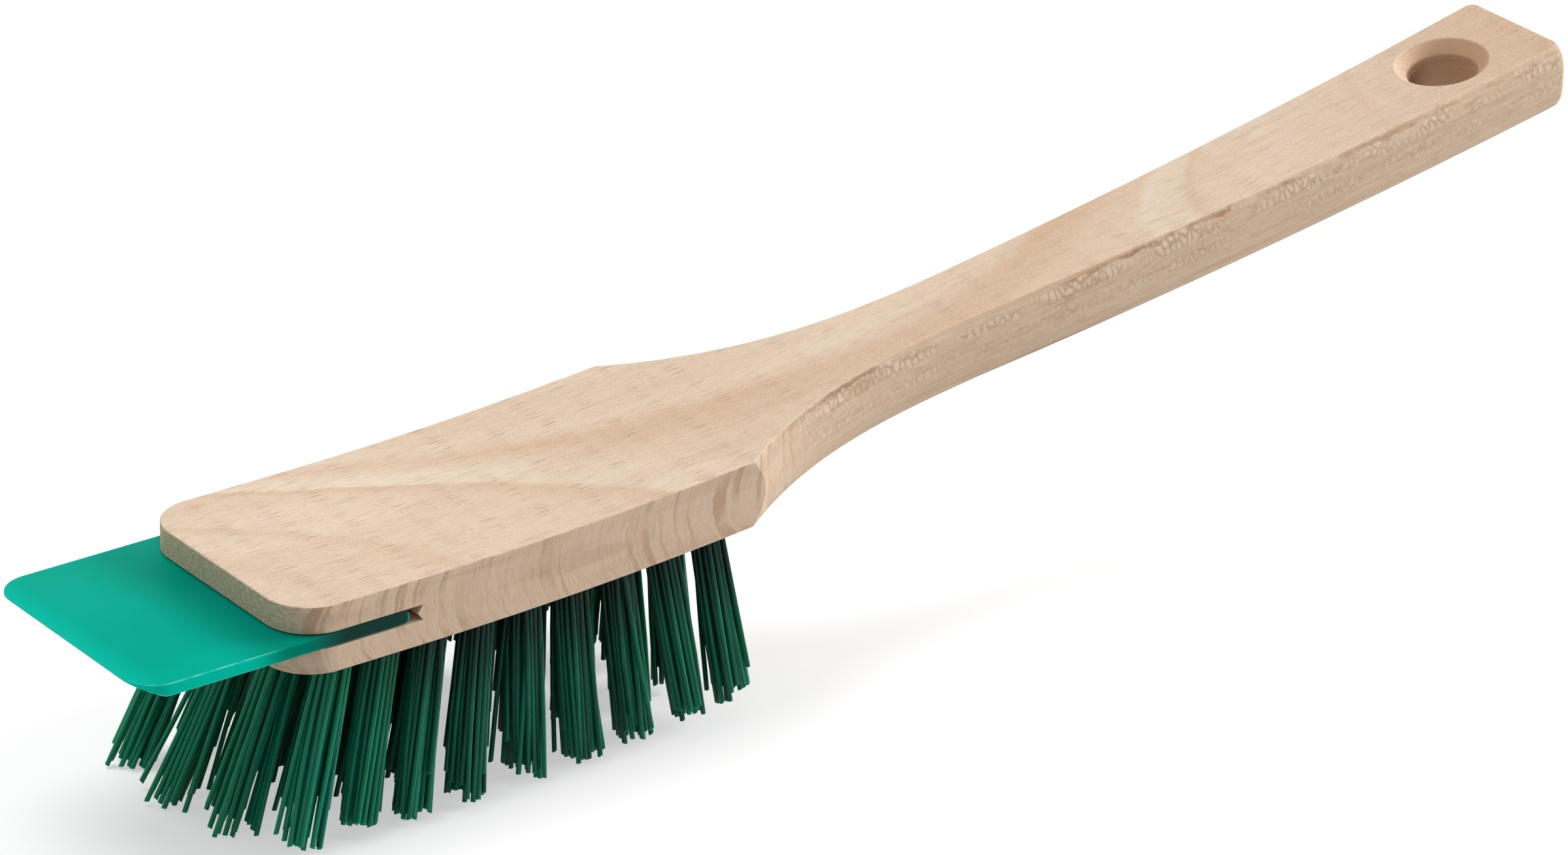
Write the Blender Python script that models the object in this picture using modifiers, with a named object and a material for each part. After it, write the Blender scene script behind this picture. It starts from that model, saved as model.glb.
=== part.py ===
"""Lawn mower cleaning brush: a one-piece beech body with a plastic scraper and stapled bristle tufts.

Body axes: +X runs from the scraper to the end of the handle, +Y across the head and +Z up.
Every piece is drawn with X = 0 at the front of the head and Z = 0 on the flat top of the head.
The empty named brush then carries the pieces, so that the brush stands on its bristles at Z = 0.
"""

import math
import random

import bmesh
import bpy
from mathutils import Matrix, Vector

MM = 0.001

# Beech body: head, neck and handle are one board of even thickness
BODY_LENGTH = 362.6 * MM
BODY_THICKNESS = 15.7 * MM
HEAD_WIDTH = 60.0 * MM
HEAD_LENGTH = 121.9 * MM
HEAD_CORNER_RADIUS = 11.0 * MM
WAIST_FROM_FRONT = 195.0 * MM
WAIST_WIDTH = 26.2 * MM
HANDLE_END_WIDTH = 37.4 * MM
HANDLE_CORNER_RADIUS = 2.0 * MM
COVE_POWER = 2.65

# Side view: the front is flat, then the board sweeps up in two long arcs
FLAT_LENGTH = 31.9 * MM
SWEEP_CHANGE_FROM_FRONT = 139.6 * MM
SWEEP_CHANGE_SLOPE = 0.104
END_SLOPE = 0.206

# Rounded sides of the neck and handle, measured in from the widest line at mid thickness
NECK_ROUND_DEPTH = 2.0 * MM
END_ROUND_DEPTH = 3.4 * MM
NECK_ROUND_POWER = 2.0
END_ROUND_POWER = 4.0
SIDE_LEVEL_SHARES = (-1.0, -0.92, -0.72, -0.4, 0.0, 0.4, 0.72, 0.92, 1.0)

# Hanging hole, countersunk on both faces
HOLE_FROM_END = 21.3 * MM
HOLE_BORE_DIAMETER = 16.6 * MM
HOLE_RIM_DIAMETER = 22.2 * MM

# Scraper plate and the saw cut that holds it
SCRAPER_REACH = 37.6 * MM
SCRAPER_SEAT_DEPTH = 28.7 * MM
SCRAPER_THICKNESS = 3.0 * MM
SCRAPER_TOP_BELOW_BODY_TOP = 6.5 * MM
SCRAPER_CORNER_RADIUS = 8.0 * MM
SCRAPER_BEVEL_LENGTH = 6.0 * MM
SCRAPER_TIP_THICKNESS = 0.8 * MM
SCRAPER_REAR_ROUND = 0.9 * MM
SLOT_BEHIND_SCRAPER = 3.6 * MM
SLOT_END_RIDGE = 1.3 * MM

# Bristle tufts: straight rows of blind holes across the head
TUFT_COUNT_ALONG = 9
TUFT_COUNT_ACROSS = 4
FIRST_TUFT_FROM_FRONT = 14.2 * MM
LAST_TUFT_FROM_SHOULDER = 11.3 * MM
OUTER_TUFT_FROM_SIDE = 6.3 * MM
TUFT_HOLE_DIAMETER = 8.0 * MM
TUFT_HOLE_DEPTH = 8.0 * MM
LEAST_WOOD_OVER_HOLE = 0.5 * MM
FRONT_LEAN = math.radians(-19.0)
REAR_LEAN = math.radians(8.0)
OUTWARD_LEAN = math.radians(7.2)

# Anchor: the flat wire that each tuft is folded over
ANCHOR_WIDTH = 1.8 * MM
ANCHOR_HEIGHT = 0.8 * MM
FOLD_SHARE = 0.8

# Strands of a tuft: a square grid without its corner places, shorter towards the sides of the head
MIDDLE_STRAND_LENGTH = 42.8 * MM
OUTER_STRANDS_SHORTER_BY = 3.4 * MM
STRAND_LENGTH_SPREAD = 1.7 * MM
STRAND_WIDTH = 1.3 * MM
STRAND_PITCH = 1.74 * MM
STRANDS_ON_A_SIDE = 4
TIP_FAN_SHARE = 1.4
TIP_WANDER = 0.35 * MM
STRAND_ROOT_SINK = 0.9 * MM
STAND_TRIM = 0.5 * MM

# Shared by neighbours
CLEARANCE = 0.3 * MM
CUT_OVERRUN = 4.0 * MM
MERGE_DISTANCE = 0.01 * MM

# Mesh fineness
CORNER_STEPS = 6
HEAD_STEPS = 11
NECK_STEPS = 16
HANDLE_STEPS = 14
HANDLE_CORNER_STEPS = 3
NECK_STEP_POWER = 1.35
HOLE_STEPS = 24
TUFT_SIDES = 10
SCRAPER_CORNER_STEPS = 6
REAR_ROUND_STEPS = 3

SEED = 7

BEECH_COLOUR = (0.69, 0.51, 0.36, 1.0)
SCRAPER_COLOUR = (0.0, 0.43, 0.33, 1.0)
BRISTLE_COLOUR = (0.0, 0.12, 0.065, 1.0)


def clear_scene():
    for item in list(bpy.data.objects):
        bpy.data.objects.remove(item, do_unlink=True)


def new_collection(name):
    collection = bpy.data.collections.new(name)
    bpy.context.scene.collection.children.link(collection)
    return collection


def make_material(name, colour, roughness, metallic=0.0):
    material = bpy.data.materials.new(name)
    material.use_nodes = True
    shader = material.node_tree.nodes["Principled BSDF"]
    shader.inputs["Base Color"].default_value = colour
    shader.inputs["Roughness"].default_value = roughness
    shader.inputs["Metallic"].default_value = metallic
    material.diffuse_color = colour
    return material


def object_from_bmesh(name, shape, collection):
    """Closes the bmesh into a mesh object with its faces pointing out."""
    bmesh.ops.recalc_face_normals(shape, faces=shape.faces)
    mesh = bpy.data.meshes.new(name)
    shape.to_mesh(mesh)
    shape.free()
    item = bpy.data.objects.new(name, mesh)
    collection.objects.link(item)
    return item


def as_cutter(item):
    item.hide_render = True
    item.display_type = "WIRE"
    return item


def boolean(item, tool, operation):
    modifier = item.modifiers.new(f"{operation.lower()} {tool.name}", "BOOLEAN")
    modifier.operation = operation
    modifier.solver = "EXACT"
    modifier.object = tool


def extrude_outline(name, outline, direction, collection):
    """Draws the closed outline as one face and extrudes it along direction."""
    shape = bmesh.new()
    face = shape.faces.new([shape.verts.new(point) for point in outline])
    grown = bmesh.ops.extrude_face_region(shape, geom=[face])
    far_side = [piece for piece in grown["geom"] if isinstance(piece, bmesh.types.BMVert)]
    bmesh.ops.translate(shape, verts=far_side, vec=direction)
    return object_from_bmesh(name, shape, collection)


def shade_smooth(item, angle):
    item.data.shade_smooth()
    item.data.set_sharp_from_angle(angle=angle)


# Shape of the beech body


def top_slope(x):
    """Slope of the body's top at x, seen from the side."""
    if x <= FLAT_LENGTH:
        return 0.0
    if x <= SWEEP_CHANGE_FROM_FRONT:
        return SWEEP_CHANGE_SLOPE * (x - FLAT_LENGTH) / (SWEEP_CHANGE_FROM_FRONT - FLAT_LENGTH)
    along = (x - SWEEP_CHANGE_FROM_FRONT) / (BODY_LENGTH - SWEEP_CHANGE_FROM_FRONT)
    return SWEEP_CHANGE_SLOPE + (END_SLOPE - SWEEP_CHANGE_SLOPE) * along


def top_height(x):
    """Height of the body's top at x: the slope changes evenly within each stretch."""
    first_end = min(x, SWEEP_CHANGE_FROM_FRONT)
    height = (first_end - FLAT_LENGTH) * top_slope(first_end) / 2 if x > FLAT_LENGTH else 0.0
    if x > SWEEP_CHANGE_FROM_FRONT:
        height += (x - SWEEP_CHANGE_FROM_FRONT) * (SWEEP_CHANGE_SLOPE + top_slope(x)) / 2
    return height


def round_depth(x):
    share = max(0.0, (x - HEAD_LENGTH) / (BODY_LENGTH - HEAD_LENGTH))
    return NECK_ROUND_DEPTH + (END_ROUND_DEPTH - NECK_ROUND_DEPTH) * share


def round_power(x):
    share = max(0.0, (x - HEAD_LENGTH) / (BODY_LENGTH - HEAD_LENGTH))
    return NECK_ROUND_POWER + (END_ROUND_POWER - NECK_ROUND_POWER) * share


def side_inset(x, level):
    """How far the rounded side lies inside the widest line, at a level from -1 to 1."""
    return round_depth(x) * abs(level) ** round_power(x)


def widest_half_width(x):
    """Half width at mid thickness, behind the head: a cove down to the waist, then a taper out."""
    waist = WAIST_WIDTH / 2
    if x >= WAIST_FROM_FRONT:
        along = (x - WAIST_FROM_FRONT) / (BODY_LENGTH - WAIST_FROM_FRONT)
        return waist + (HANDLE_END_WIDTH / 2 - waist) * along
    left = (WAIST_FROM_FRONT - x) / (WAIST_FROM_FRONT - HEAD_LENGTH)
    return waist + (HEAD_WIDTH / 2 - waist) * left ** COVE_POWER


def shoulder_x(level):
    """Where the rounded neck meets the flat side of the head."""
    waist = WAIST_WIDTH / 2
    spread = HEAD_WIDTH / 2 + side_inset(HEAD_LENGTH, level) - waist
    left = (spread / (HEAD_WIDTH / 2 - waist)) ** (1 / COVE_POWER)
    return WAIST_FROM_FRONT - (WAIST_FROM_FRONT - HEAD_LENGTH) * left


def head_half_width(x):
    if x >= HEAD_CORNER_RADIUS:
        return HEAD_WIDTH / 2
    back = HEAD_CORNER_RADIUS - x
    return HEAD_WIDTH / 2 - HEAD_CORNER_RADIUS + math.sqrt(max(0.0, HEAD_CORNER_RADIUS**2 - back**2))


def body_point(x, half_width, level):
    """The point on the +Y side at x, where level runs from -1 at the bottom to 1 at the top."""
    return Vector((x, half_width, top_height(x) + (level - 1) * BODY_THICKNESS / 2))


def ring_of(side):
    """A closed section: up the +Y side and down the other."""
    mirrored = [Vector((point.x, -point.y, point.z)) for point in reversed(side)]
    return side + mirrored


def body_rings():
    rings = []
    for step in range(CORNER_STEPS):
        x = HEAD_CORNER_RADIUS * (1 - math.cos(math.pi / 2 * step / CORNER_STEPS))
        rings.append([body_point(x, head_half_width(x), level) for level in SIDE_LEVEL_SHARES])
    last_head_x = shoulder_x(1.0) - NECK_ROUND_DEPTH
    for step in range(HEAD_STEPS + 1):
        x = HEAD_CORNER_RADIUS + (last_head_x - HEAD_CORNER_RADIUS) * step / HEAD_STEPS
        rings.append([body_point(x, HEAD_WIDTH / 2, level) for level in SIDE_LEVEL_SHARES])
    for step in range(NECK_STEPS + 1):
        side = []
        for level in SIDE_LEVEL_SHARES:
            start = shoulder_x(level)
            x = start + (WAIST_FROM_FRONT - start) * (step / NECK_STEPS) ** NECK_STEP_POWER
            half_width = HEAD_WIDTH / 2 if step == 0 else widest_half_width(x) - side_inset(x, level)
            side.append(body_point(x, half_width, level))
        rings.append(side)
    last_handle_x = BODY_LENGTH - HANDLE_CORNER_RADIUS
    for step in range(1, HANDLE_STEPS + 1):
        x = WAIST_FROM_FRONT + (last_handle_x - WAIST_FROM_FRONT) * step / HANDLE_STEPS
        half_width = widest_half_width(x)
        rings.append([body_point(x, half_width - side_inset(x, level), level) for level in SIDE_LEVEL_SHARES])
    for step in range(1, HANDLE_CORNER_STEPS + 1):
        angle = math.pi / 2 * step / HANDLE_CORNER_STEPS
        x = last_handle_x + HANDLE_CORNER_RADIUS * math.sin(angle)
        half_width = widest_half_width(x) - HANDLE_CORNER_RADIUS * (1 - math.cos(angle))
        rings.append([body_point(x, half_width - side_inset(x, level), level) for level in SIDE_LEVEL_SHARES])
    return [ring_of(side) for side in rings]


def loft(name, rings, collection):
    """Skins a closed body over rings that have the same number of points."""
    shape = bmesh.new()
    rows = [[shape.verts.new(point) for point in ring] for ring in rings]
    for near, far in zip(rows, rows[1:]):
        for index, corner in enumerate(near):
            following = (index + 1) % len(near)
            shape.faces.new((corner, near[following], far[following], far[index]))
    shape.faces.new(rows[0])
    shape.faces.new(rows[-1])
    return object_from_bmesh(name, shape, collection)


def hanging_hole_cutter(collection):
    """A turned cutter for the bore and its two countersinks, square to the handle's top."""
    bore = HOLE_BORE_DIAMETER / 2
    rim = HOLE_RIM_DIAMETER / 2
    half = BODY_THICKNESS / 2
    reach = half + CUT_OVERRUN
    profile = (
        (0.0, reach),
        (rim + CUT_OVERRUN, reach),
        (bore, half - (rim - bore)),
        (bore, (rim - bore) - half),
        (rim + CUT_OVERRUN, -reach),
        (0.0, -reach),
    )
    mesh = bpy.data.meshes.new("hanging_hole_cutter")
    points = [(radius, 0.0, height) for radius, height in profile]
    mesh.from_pydata(points, [(i, i + 1) for i in range(len(points) - 1)], [])
    item = bpy.data.objects.new("hanging_hole_cutter", mesh)
    collection.objects.link(item)
    screw = item.modifiers.new("turn", "SCREW")
    screw.steps = HOLE_STEPS
    screw.render_steps = HOLE_STEPS
    screw.use_smooth_shade = False
    screw.use_merge_vertices = True
    screw.merge_threshold = MERGE_DISTANCE
    x = BODY_LENGTH - HOLE_FROM_END
    slope_angle = math.atan(top_slope(x))
    half_drop = half / math.cos(slope_angle)
    item.location = (x, 0.0, top_height(x) - half_drop)
    item.rotation_euler = (0.0, -slope_angle, 0.0)
    return as_cutter(item)


def slot_depth():
    return SCRAPER_SEAT_DEPTH + SLOT_BEHIND_SCRAPER


def slot_cutter(collection):
    """The saw cut across the front of the head, with the ridge that the blade leaves at its end."""
    top = CLEARANCE - SCRAPER_TOP_BELOW_BODY_TOP
    bottom = -SCRAPER_TOP_BELOW_BODY_TOP - SCRAPER_THICKNESS - CLEARANCE
    middle = (top + bottom) / 2
    outside = HEAD_WIDTH / 2 + CUT_OVERRUN
    outline = [
        (-CUT_OVERRUN, -outside, top),
        (slot_depth(), -outside, top),
        (slot_depth() - SLOT_END_RIDGE, -outside, middle),
        (slot_depth(), -outside, bottom),
        (-CUT_OVERRUN, -outside, bottom),
    ]
    return as_cutter(extrude_outline("slot_cutter", outline, (0.0, 2 * outside, 0.0), collection))


def build_body(parts, cutters, tufts):
    body = loft("beech_body", body_rings(), parts)
    boolean(body, slot_cutter(cutters), "DIFFERENCE")
    boolean(body, tuft_hole_cutters(tufts, cutters), "DIFFERENCE")
    boolean(body, hanging_hole_cutter(cutters), "DIFFERENCE")
    body.data.materials.append(make_material("beech", BEECH_COLOUR, 0.62))
    return body


# Scraper plate


def scraper_plan_cutter(collection):
    """The plate's plan outline, with the two rounded front corners."""
    side = HEAD_WIDTH / 2
    radius = SCRAPER_CORNER_RADIUS
    outline = [(SCRAPER_SEAT_DEPTH + CUT_OVERRUN, -side), (SCRAPER_SEAT_DEPTH + CUT_OVERRUN, side)]
    for step in range(SCRAPER_CORNER_STEPS + 1):
        angle = math.pi / 2 * step / SCRAPER_CORNER_STEPS
        x = radius - SCRAPER_REACH - radius * math.sin(angle)
        outline.append((x, side - radius + radius * math.cos(angle)))
    for step in range(SCRAPER_CORNER_STEPS + 1):
        angle = math.pi / 2 * step / SCRAPER_CORNER_STEPS
        x = radius - SCRAPER_REACH - radius * math.cos(angle)
        outline.append((x, radius - side - radius * math.sin(angle)))
    top = CUT_OVERRUN - SCRAPER_TOP_BELOW_BODY_TOP
    points = [(x, y, top) for x, y in outline]
    depth = (0.0, 0.0, -SCRAPER_THICKNESS - 2 * CUT_OVERRUN)
    return as_cutter(extrude_outline("scraper_plan_cutter", points, depth, collection))


def build_scraper(parts, cutters):
    """The side profile is drawn out across the head, then trimmed to the plan outline."""
    top = -SCRAPER_TOP_BELOW_BODY_TOP
    bottom = top - SCRAPER_THICKNESS
    outside = HEAD_WIDTH / 2 + CUT_OVERRUN
    front = -SCRAPER_REACH
    profile = [
        (front, top),
        (front, top - SCRAPER_TIP_THICKNESS),
        (front + SCRAPER_BEVEL_LENGTH, bottom),
    ]
    centre_x = SCRAPER_SEAT_DEPTH - SCRAPER_REAR_ROUND
    for step in range(REAR_ROUND_STEPS + 1):
        angle = math.pi / 2 * step / REAR_ROUND_STEPS
        lift = SCRAPER_REAR_ROUND * (1 - math.cos(angle))
        profile.append((centre_x + SCRAPER_REAR_ROUND * math.sin(angle), bottom + lift))
    for step in range(REAR_ROUND_STEPS + 1):
        angle = math.pi / 2 * step / REAR_ROUND_STEPS
        drop = SCRAPER_REAR_ROUND * (1 - math.sin(angle))
        profile.append((centre_x + SCRAPER_REAR_ROUND * math.cos(angle), top - drop))
    points = [(x, -outside, z) for x, z in profile]
    scraper = extrude_outline("scraper_blade", points, (0.0, 2 * outside, 0.0), parts)
    boolean(scraper, scraper_plan_cutter(cutters), "INTERSECT")
    scraper.data.materials.append(make_material("scraper_plastic", SCRAPER_COLOUR, 0.3))
    return scraper


# Bristle tufts


class Tuft:
    """One bundle of bristles: where its hole opens, which way it points, and its strands."""

    def __init__(self, row, place):
        self.name = f"tuft_row{row + 1}_{place + 1:02d}"
        last_x = HEAD_LENGTH - LAST_TUFT_FROM_SHOULDER
        along = place / (TUFT_COUNT_ALONG - 1)
        x = FIRST_TUFT_FROM_FRONT + (last_x - FIRST_TUFT_FROM_FRONT) * along
        across = 2 * row / (TUFT_COUNT_ACROSS - 1) - 1
        self.side = 1.0 if across >= 0 else -1.0
        y = abs(across) * (HEAD_WIDTH / 2 - OUTER_TUFT_FROM_SIDE)
        self.mouth = Vector((x, y, top_height(x) - BODY_THICKNESS))
        lean = FRONT_LEAN + (REAR_LEAN - FRONT_LEAN) * along
        outward = OUTWARD_LEAN * abs(across)
        self.length = MIDDLE_STRAND_LENGTH - OUTER_STRANDS_SHORTER_BY * across**2
        self.axis = Vector((math.tan(lean), math.tan(outward), -1.0)).normalized()
        self.u = Vector((0.0, 1.0, 0.0)).cross(self.axis).normalized()
        self.v = self.axis.cross(self.u).normalized()
        self.hole_depth = self.free_hole_depth()
        draws = random.Random(f"{SEED} {min(row, TUFT_COUNT_ACROSS - 1 - row)} {place}")
        self.strands = [self.strand(at, draws) for at in strand_places()]

    def free_hole_depth(self):
        """A hole under the saw cut is shallower, so that it stays inside the lower lip."""
        if self.mouth.x > slot_depth() + TUFT_HOLE_DIAMETER / 2:
            return TUFT_HOLE_DEPTH
        slot_bottom = SCRAPER_TOP_BELOW_BODY_TOP + SCRAPER_THICKNESS + CLEARANCE
        lip = BODY_THICKNESS - slot_bottom - LEAST_WOOD_OVER_HOLE
        upright = -self.axis.z
        corner_rise = TUFT_HOLE_DIAMETER / 2 * math.sqrt(1 - upright**2)
        return min(TUFT_HOLE_DEPTH, (lip - corner_rise) / upright)

    def strand(self, place, draws):
        """A strand's root, its direction and the height at which it is cut off."""
        root = self.mouth - self.axis * STRAND_ROOT_SINK + (self.u * place[0] + self.v * place[1]) * STRAND_PITCH
        fan = (self.u * place[0] + self.v * place[1]) * STRAND_PITCH * (TIP_FAN_SHARE - 1)
        wander = (self.u * draws.uniform(-1, 1) + self.v * draws.uniform(-1, 1)) * TIP_WANDER
        length = self.length + STRAND_LENGTH_SPREAD * draws.uniform(-1, 1)
        reach = self.axis * (length + STRAND_ROOT_SINK) + fan + wander
        return {"root": root, "direction": reach.normalized(), "end": (root + reach).z}

    def frame(self):
        """Turns a shape drawn along +Z into this tuft's place, with +Z along the bristles."""
        turn = Matrix((self.u, self.v, self.axis)).transposed().to_4x4()
        return Matrix.Translation(self.mouth) @ turn

    def mirrored(self):
        return Matrix.Diagonal((1.0, self.side, 1.0, 1.0))


def strand_places():
    """Places on the grid, in pitches from the tuft's middle, without the four corners."""
    middle = (STRANDS_ON_A_SIDE - 1) / 2
    edge = (0, STRANDS_ON_A_SIDE - 1)
    places = []
    for column in range(STRANDS_ON_A_SIDE):
        for line in range(STRANDS_ON_A_SIDE):
            if not (column in edge and line in edge):
                places.append((column - middle, line - middle))
    return places


def add_cylinder(shape, radius, inner_radius, low, high, matrix):
    """A cylinder or cone frustum between two heights on the matrix's own Z axis."""
    middle = Matrix.Translation((0.0, 0.0, (low + high) / 2))
    bmesh.ops.create_cone(
        shape,
        cap_ends=True,
        segments=TUFT_SIDES,
        radius1=inner_radius,
        radius2=radius,
        depth=high - low,
        matrix=matrix @ middle,
    )


def tuft_hole_cutters(tufts, collection):
    shape = bmesh.new()
    radius = TUFT_HOLE_DIAMETER / 2
    for tuft in tufts:
        matrix = tuft.mirrored() @ tuft.frame()
        add_cylinder(shape, radius, radius, -tuft.hole_depth, CUT_OVERRUN, matrix)
    return as_cutter(object_from_bmesh("tuft_hole_cutters", shape, collection))


def strand_bundle(tuft, stand, collection):
    """All strands of a tuft as straight square rods, each cut level at its end."""
    shape = bmesh.new()
    half = STRAND_WIDTH / 2
    corners = [(-half, -half), (half, -half), (half, half), (-half, half)]
    for strand in tuft.strands:
        end = max(strand["end"], stand)
        starts = [strand["root"] + tuft.u * a + tuft.v * b for a, b in corners]
        slant = strand["direction"]
        ends = [start + slant * ((end - start.z) / slant.z) for start in starts]
        near = [shape.verts.new(point) for point in starts]
        far = [shape.verts.new(point) for point in ends]
        shape.faces.new(near)
        shape.faces.new(far)
        for index in range(len(near)):
            following = (index + 1) % len(near)
            shape.faces.new((near[index], near[following], far[following], far[index]))
    add_anchor(shape, tuft)
    bmesh.ops.transform(shape, matrix=tuft.mirrored(), verts=shape.verts)
    return as_cutter(object_from_bmesh(f"{tuft.name}_strands", shape, collection))


def add_anchor(shape, tuft):
    """The flat wire across the fold, at the closed end of the hole."""
    length = 2 * (TUFT_HOLE_DIAMETER / 2 - CLEARANCE) * FOLD_SHARE
    low = CLEARANCE - tuft.hole_depth
    height = 2 * ANCHOR_HEIGHT
    size = Matrix.Diagonal((length, ANCHOR_WIDTH, height, 1.0))
    place = Matrix.Translation((0.0, 0.0, low + height / 2))
    bmesh.ops.create_cube(shape, size=1.0, matrix=tuft.frame() @ place @ size)


def build_tuft(tuft, stand, material, parts, cutters):
    """A folded plug that fills the hole, with its strands and anchor fused to it."""
    shape = bmesh.new()
    radius = TUFT_HOLE_DIAMETER / 2 - CLEARANCE
    low = CLEARANCE + ANCHOR_HEIGHT - tuft.hole_depth
    add_cylinder(shape, radius, radius * FOLD_SHARE, low, 0.0, tuft.mirrored() @ tuft.frame())
    item = object_from_bmesh(tuft.name, shape, parts)
    boolean(item, strand_bundle(tuft, stand, cutters), "UNION")
    item.data.materials.append(material)
    return item


def place_on_bristles(pieces, stand):
    """Carries every piece on one empty, centred along the brush and standing at Z = 0."""
    carrier = bpy.data.objects.new("brush", None)
    bpy.context.scene.collection.objects.link(carrier)
    carrier.location = ((SCRAPER_REACH - BODY_LENGTH) / 2, 0.0, -stand)
    for piece in pieces:
        piece.parent = carrier


def main():
    clear_scene()
    parts = new_collection("lawn_mower_cleaning_brush")
    cutters = new_collection("cutters")
    rows = range(TUFT_COUNT_ACROSS)
    tufts = [Tuft(row, place) for row in rows for place in range(TUFT_COUNT_ALONG)]
    stand = min(strand["end"] for tuft in tufts for strand in tuft.strands) + STAND_TRIM
    bristle = make_material("bristle", BRISTLE_COLOUR, 0.45)
    body = build_body(parts, cutters, tufts)
    shade_smooth(body, math.radians(25.0))
    scraper = build_scraper(parts, cutters)
    for tuft in tufts:
        build_tuft(tuft, stand, bristle, parts, cutters)
    place_on_bristles(list(parts.objects) + list(cutters.objects), stand)


main()
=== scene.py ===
"""Looks of the lawn mower cleaning brush: beech body, plastic scraper and stiff bristles."""

import math
import random

import bmesh
import bpy
from mathutils import Matrix, Vector, noise


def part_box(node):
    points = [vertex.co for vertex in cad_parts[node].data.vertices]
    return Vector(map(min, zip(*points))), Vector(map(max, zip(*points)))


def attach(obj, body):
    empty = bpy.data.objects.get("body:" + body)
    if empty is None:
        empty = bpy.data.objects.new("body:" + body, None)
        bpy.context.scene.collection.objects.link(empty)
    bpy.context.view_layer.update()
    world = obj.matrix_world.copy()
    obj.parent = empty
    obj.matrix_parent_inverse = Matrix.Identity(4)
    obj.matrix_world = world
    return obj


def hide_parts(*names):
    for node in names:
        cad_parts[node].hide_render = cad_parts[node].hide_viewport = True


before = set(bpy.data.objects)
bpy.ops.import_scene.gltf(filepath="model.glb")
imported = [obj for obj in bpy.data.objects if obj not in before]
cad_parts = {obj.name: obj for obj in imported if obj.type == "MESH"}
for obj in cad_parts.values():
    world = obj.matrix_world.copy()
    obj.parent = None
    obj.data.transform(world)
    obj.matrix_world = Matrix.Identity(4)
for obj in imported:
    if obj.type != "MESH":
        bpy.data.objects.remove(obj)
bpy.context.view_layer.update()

MM = 0.001
BODY = "root"

# The board frame has X = 0 at the front of the head and Z = 0 on the flat top of the head
HEAD_LOW, HEAD_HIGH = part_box("beech_body")
PLATE_LOW, PLATE_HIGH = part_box("scraper_blade")
PLATE_BELOW_TOP = 6.5 * MM
ORIGIN = Vector((HEAD_LOW.x, 0.0, PLATE_HIGH.z + PLATE_BELOW_TOP))

# Body outline, as in the solids
LENGTH = HEAD_HIGH.x - HEAD_LOW.x
THICKNESS = 15.7 * MM
HEAD_WIDTH = HEAD_HIGH.y - HEAD_LOW.y
HEAD_LENGTH = 121.9 * MM
HEAD_CORNER = 11.0 * MM
WAIST_X = 195.0 * MM
WAIST_WIDTH = 26.2 * MM
END_WIDTH = 37.4 * MM
END_CORNER = 2.0 * MM
COVE_POWER = 2.65
COVE_STATION_POWER = 1.35
FLAT_X = 31.9 * MM
SWEEP_X = 139.6 * MM
SWEEP_SLOPE = 0.104
END_SLOPE = 0.206
NECK_ROUND, END_ROUND = 2.0 * MM, 3.4 * MM
NECK_POWER, END_POWER = 2.0, 4.0

# Finer than the solids: softened edges that wander a little, as hand-sanded ones do
EDGE_RADIUS = 0.28 * MM
EDGE_WANDER = 0.14 * MM
EDGE_WANDER_LENGTH = 3.0 * MM
EDGE_ARC_STEPS = 4
FLAT_LEVELS = 14
SMOOTH_ANGLE = 32.0

# Hanging hole, with soft rims and a shallow groove around its wall below each countersink
HOLE_FROM_END = 21.3 * MM
BORE_RADIUS = 8.3 * MM
RIM_RADIUS = 11.1 * MM
RIM_SOFTNESS = 0.35 * MM
HOLE_SURROUND = 11.7 * MM
BORE_SOFTNESS = 0.3 * MM
END_FACE = LENGTH - 4.0 * MM
GROOVE_DEPTH = 0.18 * MM
GROOVE_BELOW_CONE = 1.6 * MM

# Scraper plate, rounded off over its last stretch at the rear, and the saw cut that holds it
PLATE_SEAT = PLATE_HIGH.x - HEAD_LOW.x
PLATE_REACH = HEAD_LOW.x - PLATE_LOW.x
PLATE_THICKNESS = PLATE_HIGH.z - PLATE_LOW.z
PLATE_CORNER = 8.0 * MM
PLATE_BEVEL = 6.0 * MM
PLATE_TIP = 0.45 * MM
PLATE_EDGE = 0.25 * MM
PLATE_REAR_RADIUS = 0.9 * MM
PLATE_REAR_STRETCH = 1.2 * MM
PLATE_SMOOTH_ANGLE = 40.0
SLOT_END = PLATE_SEAT + 3.6 * MM
SLOT_RIDGE = 1.3 * MM
GAP = 0.3 * MM
# How far the cutting tools reach past what they cut
OVERRUN = 4.0 * MM

# Tufts
ALONG, ACROSS = 9, 4
FIRST_TUFT_X = 14.2 * MM
LAST_TUFT_X = HEAD_LENGTH - 11.3 * MM
OUTER_TUFT_Y = HEAD_WIDTH / 2 - 6.3 * MM
TUFT_HOLE_RADIUS = 4.0 * MM
TUFT_HOLE_DEPTH = 8.0 * MM
LIP_UNDER_SLOT = THICKNESS - PLATE_BELOW_TOP - PLATE_THICKNESS - GAP
LEAST_WOOD = 0.5 * MM
FRONT_LEAN = math.radians(-19.0)
REAR_LEAN = math.radians(8.0)
OUTWARD_LEAN = math.radians(7.2)

# Bundle of a tuft: how far each place along the head leans beyond the even fan, in degrees, and how far each
# row across leans towards the head's front beyond that, more so at the rear
EXTRA_LEANS = (1.4, 2.4, 0.3, -0.6, 1.2, 0.8, 0.6, 2.4, -1.4)
ROW_LEANS = (0.0, -1.8, -3.2, -4.2)
LEAST_ROW_SHARE, ADDED_ROW_SHARE = 0.7, 1.1
AIM_SPREAD = 0.5
BUNDLE_REACH = 3.62 * MM
MIDDLE_LENGTH = 42.8 * MM
OUTER_SHORTER_BY = 3.4 * MM
LEAST_FAN, MOST_FAN = 0.98, 1.18
# How much wider the rear tufts of each row across fan out
REAR_FAN = (0.16, 0.28, 0.45, 0.5)

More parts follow.
